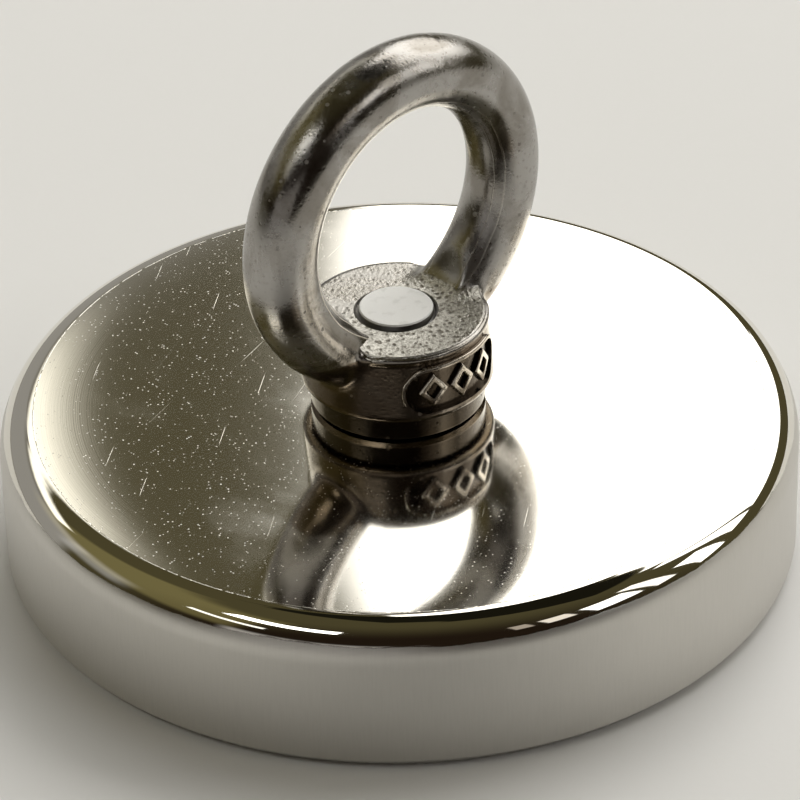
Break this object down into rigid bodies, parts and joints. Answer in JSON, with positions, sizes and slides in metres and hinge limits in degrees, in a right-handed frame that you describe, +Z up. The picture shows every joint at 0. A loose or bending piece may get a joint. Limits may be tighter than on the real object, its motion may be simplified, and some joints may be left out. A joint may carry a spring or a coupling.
{
  "type": "magnet fishing magnet",
  "caption": "Round potted magnet in a rounded nickel-plated steel cup, with a cast steel lifting eye screwed onto a countersunk socket screw through its middle.",
  "frame": {"origin": "middle of the working face, the flat underside of the steel cup", "axes": "+Z up along the screw, from the working face towards the eye; the eye lies in the XZ plane, so a rope passes through it along Y"},
  "size_m": [0.09, 0.09, 0.0625],
  "materials": {
    "nickel_plated_steel": "bright nickel plate, turned back, polished rim and satin wall",
    "nickel_plated_magnet": "nickel-plated sintered magnet, lightly satin",
    "cured_adhesive": "cured two-part adhesive",
    "potting_resin": "black potting resin, self-levelled",
    "bush_steel": "turned stainless steel",
    "screw_steel": "bright zinc-plated screw steel, matt on its end",
    "cast_stainless": "investment-cast stainless steel, tumbled and half polished"
  },
  "bodies": {
    "pot": {"steel_pot": "nickel_plated_steel", "ring_magnet": "nickel_plated_magnet", "adhesive_bed": "cured_adhesive", "rim_potting": "potting_resin", "centre_bush": "bush_steel", "centre_potting": "potting_resin"},
    "screw": {"countersunk_screw": "screw_steel"},
    "nut": {"eye_nut": "cast_stainless"}
  },
  "joints": [
    {"name": "eye_nut_rise", "type": "slide", "parent": "pot", "child": "nut", "axis": [0, 0, 1], "range_m": [0, 0.012]},
    {"name": "screw_turn", "type": "hinge", "parent": "pot", "child": "screw", "pos_m": [0, 0, 0], "axis": [0, 0, -1], "range_deg": [0, 2880]}
  ],
  "couplings": [
    {"joint": "screw_turn", "follows": "eye_nut_rise", "rad_per_m": 4188.8}
  ]
}
